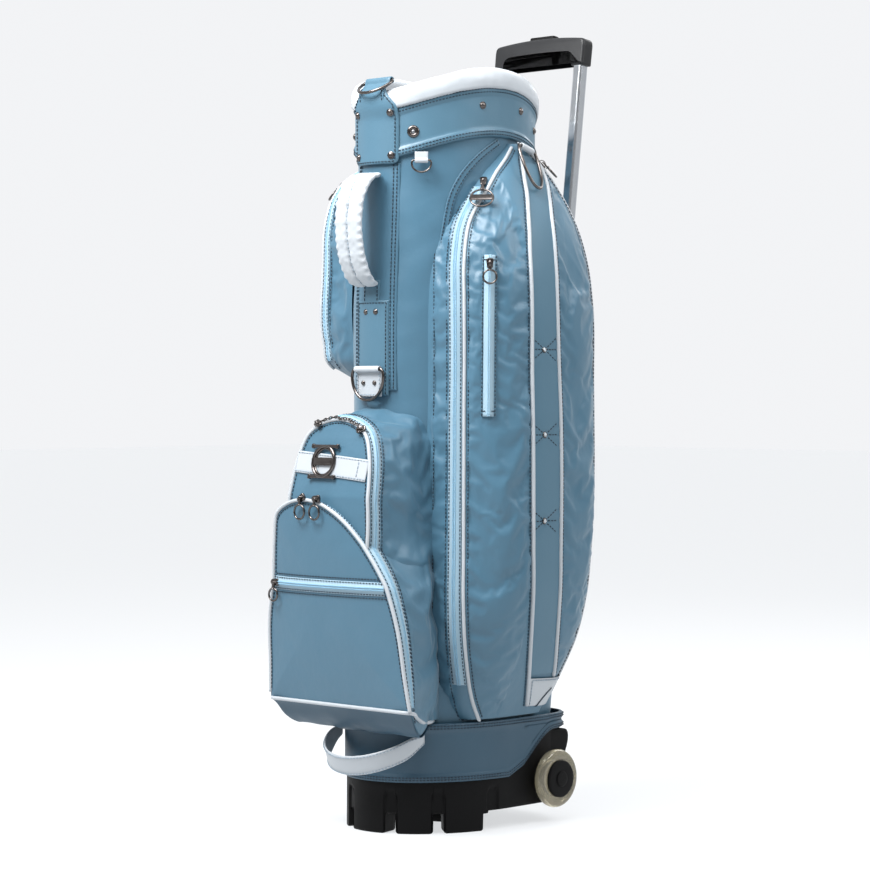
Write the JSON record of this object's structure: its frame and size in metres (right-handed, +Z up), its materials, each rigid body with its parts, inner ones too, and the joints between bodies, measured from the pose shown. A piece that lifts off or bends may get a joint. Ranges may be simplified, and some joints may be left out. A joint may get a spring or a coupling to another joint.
{
  "type": "wheeled golf bag",
  "caption": "Cart golf bag with zipped pockets, divided club opening, built-in transport wheels and a telescopic pull handle.",
  "frame": {"origin": "middle of the underside of the base, on the centre foot, at floor level", "axes": "+Z up, -Y to the front with the carry handle and ball pocket, +Y to the back with the pull handle, X along the wheel axle"},
  "size_m": [0.306, 0.3874, 0.9275],
  "materials": {
    "base_plastic": "moulded black plastic, fine grain",
    "grip_plastic": "dark grey soft-touch plastic",
    "blue_fabric": "coated nylon weave, satin",
    "blue_leather": "fine-grained synthetic leather with stitched edges",
    "white_leather": "white synthetic leather",
    "lining": "dark brushed lining",
    "aluminium": "polished extrusion",
    "steel": "plain turned steel",
    "gunmetal": "dark plated metal",
    "clear_tyre": "clear amber polyurethane"
  },
  "bodies": {
    "root": {"trolley_lower_bracket": "base_plastic", "trolley_upper_bracket": "base_plastic", "outer_tube_left": "aluminium", "outer_tube_right": "aluminium", "base_shell": "base_plastic", "base_band": "blue_leather", "axle_cap_left": "base_plastic", "axle_cap_right": "base_plastic", "wheel_axle": "steel", "body_shell": "blue_fabric", "collar_band": "blue_leather", "cuff_pad": "white_leather", "top_divider": "lining", "club_divider": "lining", "stay_left": "grip_plastic", "stay_right": "grip_plastic", "spine_cover": "blue_fabric", "side_pocket_right": "blue_fabric", "side_pocket_left_upper": "blue_fabric", "side_pocket_left_lower": "blue_fabric", "ball_pocket_lower": "blue_fabric", "ball_pocket_upper": "blue_fabric", "front_panel": "blue_leather", "top_patch": "blue_leather", "handle_lug": "blue_leather", "carry_handle_pad": "white_leather", "lower_tab": "white_leather", "small_tab": "white_leather", "side_tab": "white_leather", "ring_tongue": "blue_leather", "pocket_strap": "white_leather", "strap_buckle": "gunmetal"},
    "wheel_left": {"wheel_tyre_left": "clear_tyre", "wheel_hub_left": "base_plastic"},
    "wheel_right": {"wheel_tyre_right": "clear_tyre", "wheel_hub_right": "base_plastic"},
    "handle": {"inner_tube_left": "aluminium", "inner_tube_right": "aluminium", "grip_body": "grip_plastic", "grip_plate": "aluminium"},
    "release": {"release_button": "base_plastic", "release_yoke": "grip_plastic", "release_rod_left": "steel", "release_rod_right": "steel"},
    "lock_pin_left": {"lock_pin_left": "steel"},
    "lock_pin_right": {"lock_pin_right": "steel"},
    "lower_ring": {"lower_ring": "gunmetal"},
    "small_ring": {"small_ring": "gunmetal"},
    "side_ring": {"side_ring": "gunmetal"},
    "top_ring": {"top_ring": "gunmetal"},
    "inner_zip_slider": {"inner_zip_slider": "gunmetal"},
    "ball_zip_slider": {"ball_zip_slider": "gunmetal"},
    "side_zip_pull": {"side_zip_pull": "gunmetal"},
    "inner_zip_pull": {"inner_zip_pull": "gunmetal"},
    "ball_zip_pull": {"ball_zip_pull": "gunmetal"},
    "arch_zip_pull_left": {"arch_zip_pull_left": "gunmetal"},
    "arch_zip_pull_right": {"arch_zip_pull_right": "gunmetal"},
    "left_zip_pull": {"left_zip_pull": "gunmetal"},
    "rear_zip_pull": {"rear_zip_pull": "gunmetal"},
    "grab_strap": {"grab_strap": "white_leather"}
  },
  "joints": [
    {"name": "wheel_left_spin", "type": "hinge", "parent": "root", "child": "wheel_left", "pos_m": [-0.108, 0.071, 0.05], "axis": [1, 0, 0], "continuous": true},
    {"name": "wheel_right_spin", "type": "hinge", "parent": "root", "child": "wheel_right", "pos_m": [0.108, 0.071, 0.05], "axis": [1, 0, 0], "continuous": true},
    {"name": "handle_slide", "type": "slide", "parent": "root", "child": "handle", "axis": [0, 0.1236, 0.9923], "range_m": [-0.21, 0]},
    {"name": "release_press", "type": "slide", "parent": "handle", "child": "release", "axis": [0, -0.1236, -0.9923], "range_m": [0, 0.004], "stiffness_N_per_m": 400, "springref_m": -0.004},
    {"name": "lock_pin_left_slide", "type": "slide", "parent": "handle", "child": "lock_pin_left", "axis": [1, 0, 0], "range_m": [0, 0.003]},
    {"name": "lock_pin_right_slide", "type": "slide", "parent": "handle", "child": "lock_pin_right", "axis": [-1, 0, 0], "range_m": [0, 0.003]},
    {"name": "lower_ring_swing", "type": "hinge", "parent": "root", "child": "lower_ring", "pos_m": [0, -0.1284, 0.523], "axis": [-1, 0, 0], "range_deg": [0, 120]},
    {"name": "small_ring_swing", "type": "hinge", "parent": "root", "child": "small_ring", "pos_m": [0.057, -0.0996, 0.758], "axis": [-0.7193, -0.6947, 0], "range_deg": [0, 110]},
    {"name": "side_ring_swing", "type": "hinge", "parent": "root", "child": "side_ring", "pos_m": [0.105, 0.024, 0.776], "axis": [0.135, -0.9609, 0.2419], "range_deg": [0, 90]},
    {"name": "top_ring_swing", "type": "hinge", "parent": "root", "child": "top_ring", "pos_m": [0, -0.109, 0.8508], "axis": [-1, 0, 0], "range_deg": [0, 100]},
    {"name": "side_zip_pull_swing", "type": "hinge", "parent": "root", "child": "side_zip_pull", "pos_m": [0.0955, -0.039, 0.738], "axis": [-0.788, -0.6157, 0], "range_deg": [0, 90]},
    {"name": "arch_zip_pull_left_swing", "type": "hinge", "parent": "root", "child": "arch_zip_pull_left", "pos_m": [-0.032, -0.2045, 0.378], "axis": [-1, 0, 0], "range_deg": [0, 110]},
    {"name": "arch_zip_pull_right_swing", "type": "hinge", "parent": "root", "child": "arch_zip_pull_right", "pos_m": [-0.008, -0.2045, 0.378], "axis": [-1, 0, 0], "range_deg": [0, 110]},
    {"name": "left_zip_pull_swing", "type": "hinge", "parent": "root", "child": "left_zip_pull", "pos_m": [-0.117, -0.056, 0.742], "axis": [-0.6428, 0.766, 0], "range_deg": [0, 90]},
    {"name": "rear_zip_pull_swing", "type": "hinge", "parent": "root", "child": "rear_zip_pull", "pos_m": [0.103, 0.055, 0.762], "axis": [0.6428, -0.766, 0], "range_deg": [0, 90]},
    {"name": "inner_zip_slide", "type": "slide", "parent": "root", "child": "inner_zip_slider", "axis": [0, 0, -1], "range_m": [0, 0.165]},
    {"name": "inner_zip_pull_swing", "type": "hinge", "parent": "inner_zip_slider", "child": "inner_zip_pull", "pos_m": [0.1416, -0.0774, 0.64], "axis": [-0.7193, -0.6947, 0], "range_deg": [0, 110]},
    {"name": "ball_zip_slide", "type": "slide", "parent": "root", "child": "ball_zip_slider", "axis": [1, 0, 0], "range_m": [0, 0.17]},
    {"name": "ball_zip_pull_swing", "type": "hinge", "parent": "ball_zip_slider", "child": "ball_zip_pull", "pos_m": [-0.086, -0.1946, 0.281], "axis": [-1, 0, 0], "range_deg": [0, 110]},
    {"name": "grab_strap_swing", "type": "hinge", "parent": "root", "child": "grab_strap", "pos_m": [0, -0.105, 0.108], "axis": [-1, 0, 0], "range_deg": [-22, 22]}
  ],
  "couplings": [
    {"joint": "lock_pin_left_slide", "follows": "release_press", "ratio": 0.75},
    {"joint": "lock_pin_right_slide", "follows": "release_press", "ratio": 0.75}
  ]
}
